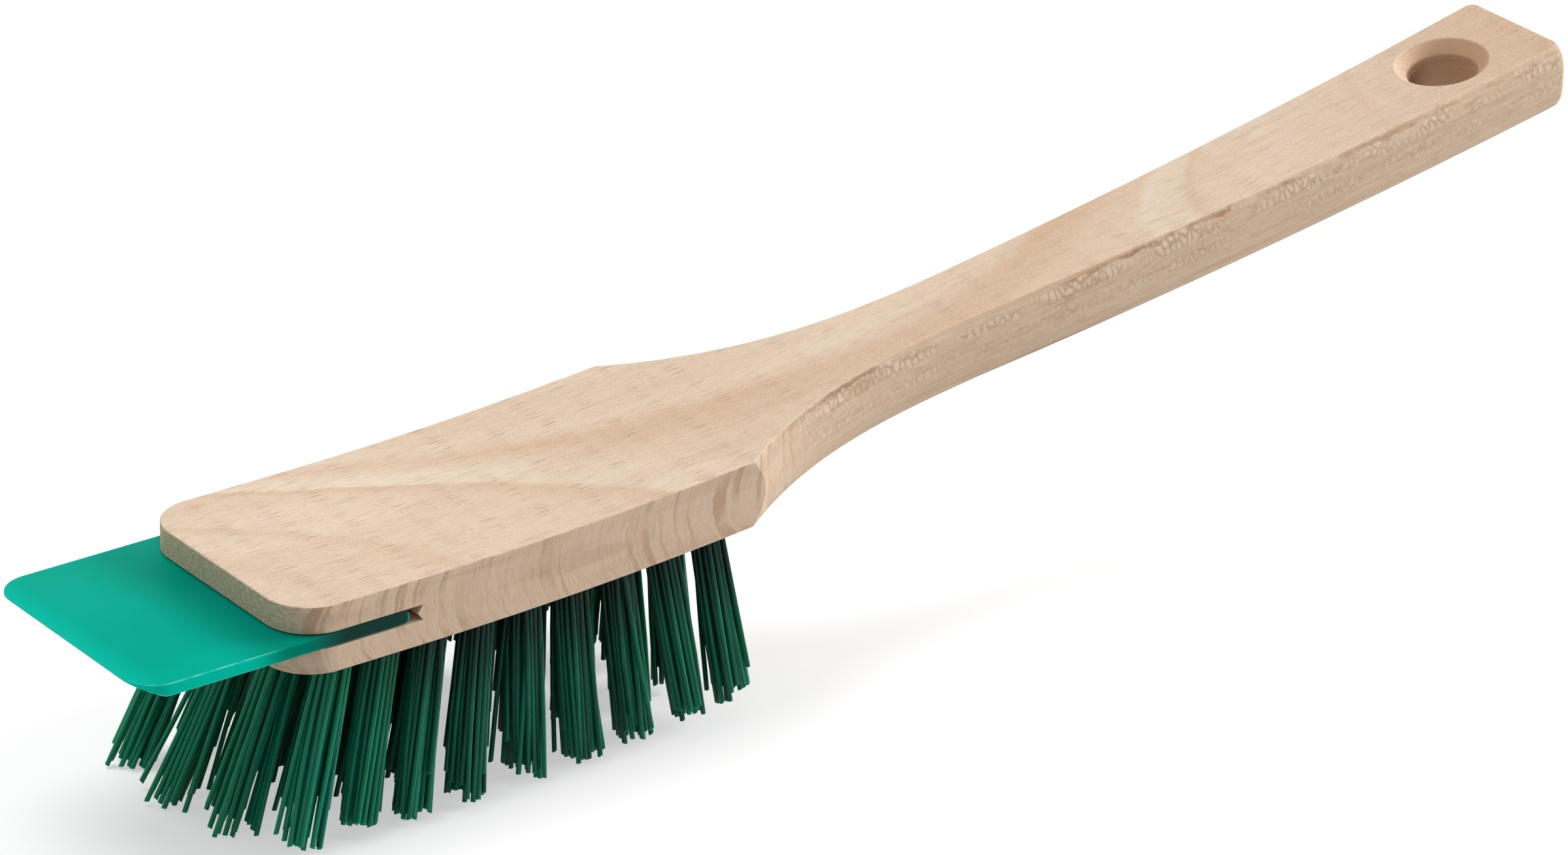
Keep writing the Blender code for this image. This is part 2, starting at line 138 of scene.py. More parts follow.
# Frayed front tufts, for each row across: how splayed they are and how much longer, in millimetres. Both fade
# with this power of the distance from the last tuft
SPLAY = (0.15, 0.9, 1.4, 0.5)
FRONT_LONGER = (0.6, 2.8, 4.2, 8.0)
FRONT_FADE = 3
SPLAY_FAN = 0.6
SPLAY_LEAN = 3.0
SPLAY_DRIFT = 1.3 * MM
THINNING = 0.2

# Filaments of a tuft, in a few clumps that lean and end a little apart from one another
FILAMENT_RADIUS = 0.60 * MM
THINNEST, THICKEST = 0.93, 1.04
FILAMENT_SIDES, FILAMENT_SPANS = 8, 3
FILAMENT_PITCH = 1.2 * MM
FILAMENT_BOW = 0.22 * MM
FILAMENT_SMOOTH_ANGLE = 50.0
ROOT_DEPTH = 3.0 * MM
CLUMPS = 6
CLUMP_LENGTHS = (-2.0, -0.7, 0.2, 0.8, 1.3)
CLUMP_DRIFT = 0.4 * MM
INNER_CLUMP_REACH = 1.45 * MM
# How uneven the ends are, in millimetres, and which share of the filaments is shorter by how much
LENGTH_SPREAD = 0.5
SHORT_SHARE, LEAST_SHORT, MOST_SHORT = 0.10, 2.0, 8.0
TIP_DRIFT = 0.25 * MM
TIP_TILT = 0.5
STRAY_SHARE, SPLAYED_STRAY_SHARE = 0.05, 0.08
STRAY_DRIFT = 2.5 * MM
LEAST_TIP_HEIGHT = 0.65 * MM
# What each filament's corners carry for its material: a shade, and the place in the bundle in millimetres
SHADE, BUNDLE_PLACE = "filament_shade", "bundle_place"

# The top's growth rings, as (place, tone) stops across each family of rings: places in millimetres, and tones
# from 0 for pale to 1 for brown
HEAD_RINGS = (
    (-30.0, 0.35), (-4.0, 0.30), (2.0, 0.55), (6.0, 0.32), (18.0, 0.34), (24.0, 0.68), (28.0, 0.32),
    (44.0, 0.34), (58.0, 0.45), (66.0, 0.78), (69.0, 0.06), (78.0, 0.12), (90.0, 0.50), (120.0, 0.70),
)
VALLEY_RINGS = (
    (-24.0, 0.40), (-13.0, 0.58), (-7.0, 0.90), (-1.0, 1.0), (2.5, 0.55), (6.0, 0.28), (12.0, 0.38),
    (20.0, 0.40),
)
HANDLE_RINGS = (
    (240.0, 0.60), (251.0, 0.0), (261.0, 0.12), (264.5, 0.68), (267.5, 0.30), (285.0, 0.25), (300.0, 0.40),
    (313.0, 0.45), (315.5, 0.70), (319.0, 0.45), (334.0, 0.75), (363.0, 1.0),
)
# How the families run: the head's slant, bow and spread, the valley's lowest place and how fast it widens
# before and after that, and the handle's slant and bow
RING_WAVER = 7.0
HEAD_RING_SLANT, HEAD_RING_BOW, HEAD_RING_SPREAD = 0.71, 0.012, 0.01
VALLEY_X, VALLEY_Y = 172.0, -4.5
VALLEY_BEFORE, VALLEY_AFTER = 0.0018, 0.0044
HANDLE_RING_SLANT, HANDLE_RING_BOW = 0.8, 0.03
# How the rings on the sides bulge forwards, around this depth
SIDE_RING_BULGE, SIDE_RING_MIDDLE, SIDE_RING_SWAY = 0.035, 7.0, 3.0
# Where the head's looks end on the sides and the handle's begin
HANDLE_START, HANDLE_FULL = 122.0, 150.0

# Studio, in metres and watts: the floor and the surroundings look white, and the lamps stay plain
FLOOR_RADIUS = 8.0
FLOOR_GREY = 0.68
NEAR_FLOOR, FAR_FLOOR = 0.5, 2.5
FLOOR_LIFT, FAR_LIFT = 0.5, 0.5
WORLD_LIGHT = 0.36
OVERHEAD_PLACE, OVERHEAD_TARGET = (-0.35, 0.40, 1.6), (0.0, 0.0, 0.05)
OVERHEAD_SIZE, OVERHEAD_POWER = 1.0, 12.1
RIGHT_PLACE, RIGHT_TARGET = (1.55, -0.65, 0.70), (0.0, 0.0, 0.03)
RIGHT_SIZE, RIGHT_POWER = 0.8, 25.0

# Camera, fitted to the photograph's outlines
LENS = 172.5
SENSOR = 36.0
CAMERA_AZIMUTH = math.radians(-37.16)
CAMERA_ELEVATION = math.radians(25.2375)
CAMERA_ROLL = math.radians(1.15014)
CAMERA_DISTANCE = 1665.58 * MM
CAMERA_TARGET = Vector((150.0, 0.0, 0.0)) * MM
CAMERA_SLIDE_RIGHT, CAMERA_SLIDE_UP = -0.62362 * MM, -7.35019 * MM


def top_slope(x):
    if x <= FLAT_X:
        return 0.0
    if x <= SWEEP_X:
        return SWEEP_SLOPE * (x - FLAT_X) / (SWEEP_X - FLAT_X)
    return SWEEP_SLOPE + (END_SLOPE - SWEEP_SLOPE) * (x - SWEEP_X) / (LENGTH - SWEEP_X)


def top_height(x):
    first = min(x, SWEEP_X)
    height = (first - FLAT_X) * top_slope(first) / 2 if x > FLAT_X else 0.0
    if x > SWEEP_X:
        height += (x - SWEEP_X) * (SWEEP_SLOPE + top_slope(x)) / 2
    return height


def side_inset(x, level):
    share = max(0.0, (x - HEAD_LENGTH) / (LENGTH - HEAD_LENGTH))
    depth = NECK_ROUND + (END_ROUND - NECK_ROUND) * share
    return depth * abs(level) ** (NECK_POWER + (END_POWER - NECK_POWER) * share)


def widest_half_width(x):
    waist = WAIST_WIDTH / 2
    if x >= WAIST_X:
        return waist + (END_WIDTH / 2 - waist) * (x - WAIST_X) / (LENGTH - WAIST_X)
    return waist + (HEAD_WIDTH / 2 - waist) * ((WAIST_X - x) / (WAIST_X - HEAD_LENGTH)) ** COVE_POWER


def shoulder_x(level):
    waist = WAIST_WIDTH / 2
    spread = HEAD_WIDTH / 2 + side_inset(HEAD_LENGTH, level) - waist
    left = (spread / (HEAD_WIDTH / 2 - waist)) ** (1 / COVE_POWER)
    return WAIST_X - (WAIST_X - HEAD_LENGTH) * left


# Mesh helpers


def finish_mesh(name, shape, material, smooth_angle=SMOOTH_ANGLE):
    bmesh.ops.recalc_face_normals(shape, faces=shape.faces)
    mesh = bpy.data.meshes.new(name)
    shape.to_mesh(mesh)
    shape.free()
    mesh.shade_smooth()
    mesh.set_sharp_from_angle(angle=math.radians(smooth_angle))
    piece = bpy.data.objects.new(name, mesh)
    bpy.context.scene.collection.objects.link(piece)
    if material is not None:
        mesh.materials.append(material)
    return piece


def wear(piece, slot, *nodes):
    """The piece rides on the body and stands for these nodes; slot is not used."""
    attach(piece, BODY)
    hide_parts(*nodes)


def edge_levels(thickness, radius):
    """Levels from -1 to 1 with the inset of the rounded edges at each."""
    pairs = []
    for step in range(EDGE_ARC_STEPS):
        angle = math.pi / 2 * step / EDGE_ARC_STEPS
        drop = radius * (1 - math.sin(angle))
        lift = radius * (1 - math.cos(angle))
        pairs.append((-1 + 2 * lift / thickness, drop))
    inner = 1 - 2 * radius / thickness
    flats = [(-inner + 2 * inner * step / FLAT_LEVELS, 0.0) for step in range(FLAT_LEVELS + 1)]
    return pairs + flats + [(-level, drop) for level, drop in reversed(pairs)]


def loft(shape, sides):
    """Skins mirrored side profiles from front to back and closes both ends with strips across."""
    left = [[shape.verts.new(p) for p in side] for side in sides]
    right = [[shape.verts.new((p.x, -p.y, p.z)) for p in side] for side in sides]
    levels = len(sides[0])
    for bank in (left, right):
        for near, far in zip(bank, bank[1:]):
            for k in range(levels - 1):
                shape.faces.new((near[k], near[k + 1], far[k + 1], far[k]))
    for i in range(len(sides) - 1):
        for k in (0, levels - 1):
            shape.faces.new((left[i][k], left[i + 1][k], right[i + 1][k], right[i][k]))
    for i in (0, len(sides) - 1):
        for k in range(levels - 1):
            shape.faces.new((left[i][k], left[i][k + 1], right[i][k + 1], right[i][k]))


def cut(piece, tools):
    """Cuts the tools out of the piece for good and removes them."""
    for tool in tools:
        modifier = piece.modifiers.new("cut", "BOOLEAN")
        modifier.operation = "DIFFERENCE"
        modifier.solver = "EXACT"
        modifier.object = tool
    depsgraph = bpy.context.evaluated_depsgraph_get()
    mesh = bpy.data.meshes.new_from_object(piece.evaluated_get(depsgraph))
    piece.modifiers.clear()
    piece.data = mesh
    for tool in tools:
        bpy.data.objects.remove(tool, do_unlink=True)


# Beech body


def body_point(x, half_width, level):
    return ORIGIN + Vector((x, half_width, top_height(x) + (level - 1) * THICKNESS / 2))


def wandering(x, level):
    """A small change of the edge's inset along the board, different at the top and the bottom."""
    place = Vector((x / EDGE_WANDER_LENGTH, level * 3.0, 0.0))
    return 1.0 + EDGE_WANDER / EDGE_RADIUS * noise.noise(place)


def body_sides():
    levels = edge_levels(THICKNESS, EDGE_RADIUS)
    sides = []
    corner_steps, head_steps, neck_steps, handle_steps, end_steps = 12, 40, 44, 60, 6
    for step in range(corner_steps):
        angle = math.pi / 2 * step / corner_steps
        side = []
        for level, drop in levels:
            radius = HEAD_CORNER - drop * wandering(step, level)
            x = HEAD_CORNER - radius * math.cos(angle)
            side.append(body_point(x, HEAD_WIDTH / 2 - HEAD_CORNER + radius * math.sin(angle), level))
        sides.append(side)
    last_head_x = shoulder_x(1.0) - NECK_ROUND
    for step in range(head_steps + 1):
        x = HEAD_CORNER + (last_head_x - HEAD_CORNER) * step / head_steps
        side = [body_point(x, HEAD_WIDTH / 2 - drop * wandering(x, level), level) for level, drop in levels]
        sides.append(side)
    for step in range(neck_steps + 1):
        side = []
        for level, drop in levels:
            start = shoulder_x(level)
            x = start + (WAIST_X - start) * (step / neck_steps) ** COVE_STATION_POWER
            wide = HEAD_WIDTH / 2 if step == 0 else widest_half_width(x) - side_inset(x, level)
            side.append(body_point(x, wide - drop * wandering(x, level), level))
        sides.append(side)
    last_x = LENGTH - END_CORNER
    for step in range(1, handle_steps + 1):
        x = WAIST_X + (last_x - WAIST_X) * step / handle_steps
        side = []
        for level, drop in levels:
            inset = side_inset(x, level)
            side.append(body_point(x, widest_half_width(x) - inset - drop * wandering(x, level), level))
        sides.append(side)
    for step in range(1, end_steps + 1):
        angle = math.pi / 2 * step / end_steps
        side = []
        for level, drop in levels:
            x = last_x + (END_CORNER - drop) * math.sin(angle)
            inset = side_inset(x, level) + END_CORNER * (1 - math.cos(angle)) + drop * math.cos(angle)
            side.append(body_point(x, widest_half_width(x) - inset, level))
        sides.append(side)
    return sides


def slot_tool():
    shape = bmesh.new()
    top = -PLATE_BELOW_TOP + GAP
    bottom = -PLATE_BELOW_TOP - PLATE_THICKNESS - GAP
    outside = HEAD_WIDTH / 2 + OVERRUN
    outline = [
        (-OVERRUN, top),
        (SLOT_END, top),
        (SLOT_END - SLOT_RIDGE, (top + bottom) / 2),
        (SLOT_END, bottom),
        (-OVERRUN, bottom),
    ]
    face = shape.faces.new([shape.verts.new(ORIGIN + Vector((x, -outside, z))) for x, z in outline])
    grown = bmesh.ops.extrude_face_region(shape, geom=[face])["geom"]
    far_side = [piece for piece in grown if isinstance(piece, bmesh.types.BMVert)]
    bmesh.ops.translate(shape, verts=far_side, vec=(0.0, 2 * outside, 0.0))
    return finish_mesh("slot_tool", shape, None)


def hanging_hole_tool():
    """The bore turned with its countersinks, softened rims and grooves; a ring on the axis is one corner."""
    steps = 72
    half = THICKNESS / 2
    sink = half - (RIM_RADIUS - BORE_RADIUS)
    upper = [
        (0.0, half + OVERRUN),
        (RIM_RADIUS + OVERRUN, half + OVERRUN),
        (RIM_RADIUS + OVERRUN, half + RIM_SOFTNESS / 4),
        (RIM_RADIUS + RIM_SOFTNESS, half + RIM_SOFTNESS / 4),
        (RIM_RADIUS + RIM_SOFTNESS / 3, half - RIM_SOFTNESS / 6),
        (RIM_RADIUS - RIM_SOFTNESS, half - RIM_SOFTNESS),
        (BORE_RADIUS + BORE_SOFTNESS, sink + BORE_SOFTNESS),
        (BORE_RADIUS + BORE_SOFTNESS / 4, sink - BORE_SOFTNESS / 3),
        (BORE_RADIUS, sink - BORE_SOFTNESS),
        (BORE_RADIUS, sink - GROOVE_BELOW_CONE + GROOVE_DEPTH),
        (BORE_RADIUS + GROOVE_DEPTH, sink - GROOVE_BELOW_CONE),
        (BORE_RADIUS, sink - GROOVE_BELOW_CONE - GROOVE_DEPTH),
    ]
    profile = upper + [(r, -z) for r, z in reversed(upper)]
    shape = bmesh.new()
    rings = []
    for radius, z in profile:
        if radius == 0.0:
            rings.append([shape.verts.new((0.0, 0.0, z))])
            continue
        angles = [2 * math.pi * i / steps for i in range(steps)]
        rings.append([shape.verts.new((radius * math.cos(a), radius * math.sin(a), z)) for a in angles])
    for near, far in zip(rings, rings[1:]):
        for i in range(steps):
            j = (i + 1) % steps
            corners = (near[i % len(near)], near[j % len(near)], far[j % len(far)], far[i % len(far)])
            shape.faces.new(list(dict.fromkeys(corners)))
    x = LENGTH - HOLE_FROM_END
    tilt = math.atan(top_slope(x))
    turn = Matrix.Rotation(-tilt, 4, "Y")
    centre = ORIGIN + Vector((x, 0.0, top_height(x) - half / math.cos(tilt)))
    bmesh.ops.transform(shape, matrix=Matrix.Translation(centre) @ turn, verts=shape.verts)
    return finish_mesh("hanging_hole_tool", shape, None)


class Tuft:
    """Where a bundle's hole opens and which way the bundle points."""

    def __init__(self, row, place):
        self.name = f"tuft_row{row + 1}_{place + 1:02d}"
        self.draws = random.Random(f"bristle {self.name}")
        self.shades = random.Random(f"shade {self.name}")
        along = place / (ALONG - 1)
        across = 2 * row / (ACROSS - 1) - 1
        x = FIRST_TUFT_X + (LAST_TUFT_X - FIRST_TUFT_X) * along
        self.mouth = ORIGIN + Vector((x, across * OUTER_TUFT_Y, top_height(x) - THICKNESS))
        lean = FRONT_LEAN + (REAR_LEAN - FRONT_LEAN) * along
        self.axis = Vector((math.tan(lean), math.tan(OUTWARD_LEAN * across), -1.0)).normalized()
        self.u = Vector((0.0, 1.0, 0.0)).cross(self.axis).normalized()
        self.v = self.axis.cross(self.u).normalized()
        self.depth = TUFT_HOLE_DEPTH
        if x <= SLOT_END + TUFT_HOLE_RADIUS:
            upright = -self.axis.z
            rise = TUFT_HOLE_RADIUS * math.sqrt(1 - upright**2)
            self.depth = min(TUFT_HOLE_DEPTH, (LIP_UNDER_SLOT - LEAST_WOOD - rise) / upright)
        self.length = MIDDLE_LENGTH - OUTER_SHORTER_BY * across**2
        forward = (1 - along) ** FRONT_FADE
        self.splay = forward * SPLAY[row]
        self.length += forward * FRONT_LONGER[row] * MM
        row_lean = ROW_LEANS[row] * (LEAST_ROW_SHARE + ADDED_ROW_SHARE * along)
        extra = EXTRA_LEANS[place] + row_lean - SPLAY_LEAN * self.splay
        self.lean = lean + math.radians(extra + self.draws.gauss(0, AIM_SPREAD))
        self.wider = SPLAY_FAN * self.splay + REAR_FAN[row] * along**2
        self.outward = OUTWARD_LEAN * across + math.radians(self.draws.gauss(0, AIM_SPREAD))

    def bundle_axes(self):
        """The bundle's own direction, a little off its hole's, with two axes across it."""
        along = Vector((math.tan(self.lean), math.tan(self.outward), -1.0)).normalized()
        u = Vector((0.0, 1.0, 0.0)).cross(along).normalized()
        return along, u, along.cross(u).normalized()

    def frame(self):
        return Matrix.Translation(self.mouth) @ Matrix((self.u, self.v, self.axis)).transposed().to_4x4()


TUFTS = [Tuft(row, place) for row in range(ACROSS) for place in range(ALONG)]


def tuft_hole_tool():
    shape = bmesh.new()
    for tuft in TUFTS:
        depth = tuft.depth + OVERRUN
        middle = Matrix.Translation((0.0, 0.0, depth / 2 - tuft.depth))
        bmesh.ops.create_cone(
            shape,
            cap_ends=True,
            segments=28,
            radius1=TUFT_HOLE_RADIUS,
            radius2=TUFT_HOLE_RADIUS,
            depth=depth,
            matrix=tuft.frame() @ middle,
        )
    return finish_mesh("tuft_hole_tool", shape, None)


def make_body(material):
    shape = bmesh.new()
    loft(shape, body_sides())
    body = finish_mesh("beech_handle_body", shape, material)
    cut(body, [slot_tool(), tuft_hole_tool(), hanging_hole_tool()])
    body.data.set_sharp_from_angle(angle=math.radians(SMOOTH_ANGLE))
    weighted = body.modifiers.new("even shading", "WEIGHTED_NORMAL")
    weighted.keep_sharp = True
    wear(body, "beech", "beech_body")


# Scraper plate


def plate_sides():
    levels = edge_levels(PLATE_THICKNESS, PLATE_EDGE)
    corner_steps, flat_steps, rear_steps = 14, 20, 5
    front = PLATE_CORNER - PLATE_REACH
    flat_length = PLATE_SEAT - PLATE_REAR_STRETCH - PLATE_CORNER + PLATE_REACH
    stations = [(front, math.pi / 2 * step / corner_steps) for step in range(corner_steps)]
    stations += [(front + flat_length * step / flat_steps, math.pi / 2) for step in range(flat_steps + 1)]
    sides = []
    for middle, angle in stations:
        side = []
        for level, drop in levels:
            x = middle - (PLATE_CORNER - drop) * math.cos(angle)
            y = HEAD_WIDTH / 2 - PLATE_CORNER + (PLATE_CORNER - drop) * math.sin(angle)
            side.append(plate_point(x, y, level))
        sides.append(side)
    for step in range(1, rear_steps + 1):
        angle = math.pi / 2 * step / rear_steps
        x = PLATE_SEAT - PLATE_REAR_RADIUS + PLATE_REAR_RADIUS * math.sin(angle)
        squeeze = 1 - 2 * PLATE_REAR_RADIUS * (1 - math.cos(angle)) / PLATE_THICKNESS
        sides.append([plate_point(x, HEAD_WIDTH / 2 - drop, level * squeeze) for level, drop in levels])
    return sides


def plate_point(x, y, level):
    """Level runs from -1 on the underside to 1 on top; the underside rises towards the front edge."""
    along = min(1.0, (x + PLATE_REACH) / PLATE_BEVEL)
    thick = PLATE_TIP + (PLATE_THICKNESS - PLATE_TIP) * along
    return ORIGIN + Vector((x, y, -PLATE_BELOW_TOP + (level - 1) * thick / 2))


def make_plate(material):
    shape = bmesh.new()
    loft(shape, plate_sides())
    plate = finish_mesh("scraper_plate", shape, material, PLATE_SMOOTH_ANGLE)
    wear(plate, "scraper_plastic", "scraper_blade")


# Bristles


def filament_places():
    """Roots packed like honeycomb inside the hole, as offsets from the tuft's middle."""
    row_gap = FILAMENT_PITCH * math.sqrt(3) / 2
    rows = int(BUNDLE_REACH / row_gap) + 1
    columns = int(BUNDLE_REACH / FILAMENT_PITCH) + 2
    places = []
    for row in range(-rows, rows + 1):
        for column in range(-columns, columns + 1):
            u = (column + 0.5 * (row % 2)) * FILAMENT_PITCH
            v = row * row_gap
            if math.hypot(u, v) <= BUNDLE_REACH:
                places.append((u, v))
    return places


def add_filament(shape, start, end, bow, radius, tip_tilt, offset, shade):
    """A slightly bowed rod from start to end with an obliquely cut tip, at an offset in its bundle."""
    shade_layer = shape.verts.layers.float[SHADE]
    place_layer = shape.verts.layers.float_vector[BUNDLE_PLACE]
    length = (end - start).length
    direction = (end - start).normalized()
    side = direction.cross(Vector((0.3, 1.0, 0.1))).normalized()
    other = direction.cross(side).normalized()
    rings = []
    for step in range(FILAMENT_SPANS + 1):
        t = step / FILAMENT_SPANS
        centre = start.lerp(end, t) + bow * (4 * t * (1 - t))
        ring = []
        for i in range(FILAMENT_SIDES):
            angle = 2 * math.pi * i / FILAMENT_SIDES
            out = side * math.cos(angle) + other * math.sin(angle)
            slip = direction * (tip_tilt * math.cos(angle) * radius) if step == FILAMENT_SPANS else Vector()
            corner = shape.verts.new(centre + out * radius + slip)
            corner[shade_layer] = shade
            around = Vector((math.cos(angle), math.sin(angle))) * radius
            corner[place_layer] = Vector((offset[0] + around.x, offset[1] + around.y, length * t)) / MM
            ring.append(corner)
        rings.append(ring)
    for near, far in zip(rings, rings[1:]):
        for i in range(FILAMENT_SIDES):
            j = (i + 1) % FILAMENT_SIDES
            shape.faces.new((near[i], near[j], far[j], far[i]))
    shape.faces.new(rings[0])
    tip = shape.faces.new(rings[-1])
    tip.material_index = 1


def make_tuft(tuft, material, cut_material):
    draws = tuft.draws
    shape = bmesh.new()
    shape.verts.layers.float.new(SHADE)
    shape.verts.layers.float_vector.new(BUNDLE_PLACE)
    axis, u, v = tuft.bundle_axes()

    def drift(spread):
        return u * draws.gauss(0, spread) + v * draws.gauss(0, spread)

    fan = draws.uniform(LEAST_FAN, MOST_FAN) + tuft.wider
    turn = draws.uniform(0, 2 * math.pi)
    clumps = [(draws.choice(CLUMP_LENGTHS) * MM, drift(CLUMP_DRIFT)) for _ in range(CLUMPS + 1)]
    for a, b in filament_places():
        clump = int((math.atan2(b, a) + turn) % (2 * math.pi) / (2 * math.pi) * CLUMPS) % CLUMPS
        if math.hypot(a, b) < INNER_CLUMP_REACH:
            clump = CLUMPS
        if draws.random() < THINNING * tuft.splay:
            continue
        longer, clump_drift = clumps[clump]
        length = tuft.length + longer + draws.gauss(0, LENGTH_SPREAD) * MM
        if draws.random() < SHORT_SHARE:
            length -= draws.uniform(LEAST_SHORT, MOST_SHORT) * MM
        offset = u * a + v * b
        start = tuft.mouth - axis * ROOT_DEPTH + offset
        end = tuft.mouth + axis * length + offset * fan + clump_drift
        end += drift(TIP_DRIFT + SPLAY_DRIFT * tuft.splay)
        if draws.random() < STRAY_SHARE + SPLAYED_STRAY_SHARE * tuft.splay:
            end += drift(STRAY_DRIFT)
        if end.z < LEAST_TIP_HEIGHT:
            end = start + (end - start) * ((start.z - LEAST_TIP_HEIGHT) / (start.z - end.z))
        bow = drift(FILAMENT_BOW)
        radius = FILAMENT_RADIUS * draws.uniform(THINNEST, THICKEST)
        tip_tilt = draws.uniform(-TIP_TILT, TIP_TILT)
        add_filament(shape, start, end, bow, radius, tip_tilt, (a, b), tuft.shades.random())
    piece = finish_mesh(tuft.name + "_bristles", shape, material, FILAMENT_SMOOTH_ANGLE)
    piece.data.materials.append(cut_material)
    wear(piece, "bristle", tuft.name)


# Materials


def srgb(red, green, blue):
    """A linear colour from an 8-bit screen colour."""
    def linear(value):
        value /= 255
        return value / 12.92 if value <= 0.04045 else ((value + 0.055) / 1.055) ** 2.4
    return (linear(red), linear(green), linear(blue), 1.0)


class Nodes:
    """A node tree, with one short call for each kind of node."""

    def __init__(self, tree):
        self.tree = tree

    def put(self, kind, feeds=None, **settings):
        item = self.tree.nodes.new("ShaderNode" + kind)
        for key, value in settings.items():
            setattr(item, key, value)
        for key, value in (feeds or {}).items():
            self.feed(item.inputs[key], value)
        return item

    def feed(self, socket, value):
        if isinstance(value, bpy.types.NodeSocket):
            self.tree.links.new(value, socket)
        else:
            socket.default_value = value

    def stretch(self, place, x, y, z):
        return self.put("VectorMath", {0: place, 1: (1 / x, 1 / y, 1 / z)}, operation="MULTIPLY").outputs[0]

    def noise(self, place, detail=3.0, roughness=0.5, distortion=0.0):
        feeds = {"Vector": place, "Scale": 1.0, "Detail": detail, "Roughness": roughness}
        feeds["Distortion"] = distortion
        return self.put("TexNoise", feeds).outputs["Fac"]

    def flat_cells(self, across, along):
        """Cells in a plane: the distance from each one's middle and a share drawn for it."""
        plane = self.put("CombineXYZ", {0: across, 1: along}).outputs[0]
        cells = self.put("TexVoronoi", {"Vector": plane, "Scale": 1.0}, voronoi_dimensions="2D")
        drawn = self.put("SeparateXYZ", {0: cells.outputs["Color"]}).outputs[0]
        return cells.outputs["Distance"], drawn

    def profile(self, value, stops):
        """A level that follows the value smoothly through (value, level) stops."""
        low, high = stops[0][0], stops[-1][0]
        share = self.put("MapRange", {"Value": value, "From Min": low, "From Max": high}).outputs[0]
        ramp = self.put("ValToRGB", {0: share})
        points = ramp.color_ramp.elements
        ramp.color_ramp.interpolation = "EASE"
        for at, level in stops[1:-1]:
            points.new((at - low) / (high - low)).color = (level, level, level, 1.0)
        for point, level in ((points[0], stops[0][1]), (points[-1], stops[-1][1])):
            point.color = (level, level, level, 1.0)
        return ramp.outputs[0]

    def maths(self, operation, a, b=0.0, c=0.0):
        return self.put("Math", {0: a, 1: b, 2: c}, operation=operation).outputs[0]

    def span(self, value, low, high, to_low=0.0, to_high=1.0):
        feeds = {"Value": value, "From Min": low, "From Max": high, "To Min": to_low, "To Max": to_high}
        return self.put("MapRange", feeds, interpolation_type="SMOOTHSTEP").outputs[0]

    def blend(self, share, a, b):
        item = self.put("Mix", data_type="RGBA")
        self.feed(item.inputs[0], share)
        self.feed(item.inputs[6], a)
        self.feed(item.inputs[7], b)
        return item.outputs[2]

    def bump(self, height, distance, strength=1.0):
        feeds = {"Height": height, "Distance": distance, "Strength": strength}
        return self.put("Bump", feeds).outputs["Normal"]

    def seen_share(self):
        """1 where the camera sees the surface itself, in a reflection or through plastic, otherwise 0."""
        seen = self.put("LightPath").outputs
        indirectly = self.maths("MAXIMUM", seen["Is Glossy Ray"], seen["Is Transmission Ray"])
        return self.maths("MAXIMUM", seen["Is Camera Ray"], indirectly)


class Finish(Nodes):
    """A material's nodes, with its surface shader."""

    def __init__(self, name):
        self.material = bpy.data.materials.new(name)
        self.material.use_nodes = True
        super().__init__(self.material.node_tree)
        self.surface = self.tree.nodes["Principled BSDF"]

    def board_place(self):
        """Place in millimetres in the board frame: X from the head's front, Z from the flat top."""
        place = self.put("TexCoord").outputs["Object"]
        moved = self.put("VectorMath", {0: place, 1: ORIGIN}, operation="SUBTRACT").outputs[0]
        return self.put("VectorMath", {0: moved, "Scale": 1 / MM}, operation="SCALE").outputs[0]


# Beech


def swept_rise(f, x):
    """How far the top has risen at x, in millimetres: two parabolas, one for each stretch of the sweep."""
    first = SWEEP_SLOPE / (2 * (SWEEP_X - FLAT_X)) * MM
    second = (END_SLOPE - SWEEP_SLOPE) / (2 * (LENGTH - SWEEP_X)) * MM
    past_flat = f.maths("MAXIMUM", f.maths("SUBTRACT", x, FLAT_X / MM), 0.0)
    past_sweep = f.maths("MAXIMUM", f.maths("SUBTRACT", x, SWEEP_X / MM), 0.0)
    rise = f.maths("MULTIPLY", f.maths("POWER", past_flat, 2.0), first)
    return f.maths("MULTIPLY_ADD", f.maths("POWER", past_sweep, 2.0), second - first, rise)


class Board:
    """Where a shaded point lies in the board, in millimetres, and the patterns that its faces share."""

    def __init__(self, f):
        self.x, self.y, z = f.put("SeparateXYZ", {0: f.board_place()}).outputs
        self.depth = f.maths("SUBTRACT", swept_rise(f, self.x), z)
        self.place = f.put("CombineXYZ", {0: self.x, 1: self.y, 2: self.depth}).outputs[0]
        self.bands = f.noise(f.stretch(self.place, 60.0, 7.5, 20.0), 2.0, 0.5, 0.6)
        self.fibre = f.noise(f.stretch(self.place, 6.0, 0.22, 2.0), 3.0, 0.65)
        self.speck = f.noise(f.stretch(self.place, 0.8, 0.26, 0.5), 2.0, 0.6)
        self.mottle = f.noise(f.stretch(self.place, 0.40, 0.40, 0.7), 2.0, 0.7)
        self.on_handle = f.span(self.x, HANDLE_START, HANDLE_FULL)
        surround = HOLE_SURROUND / MM
        self.beside_hole = f.span(f.maths("ABSOLUTE", self.y), surround, surround + 0.8)


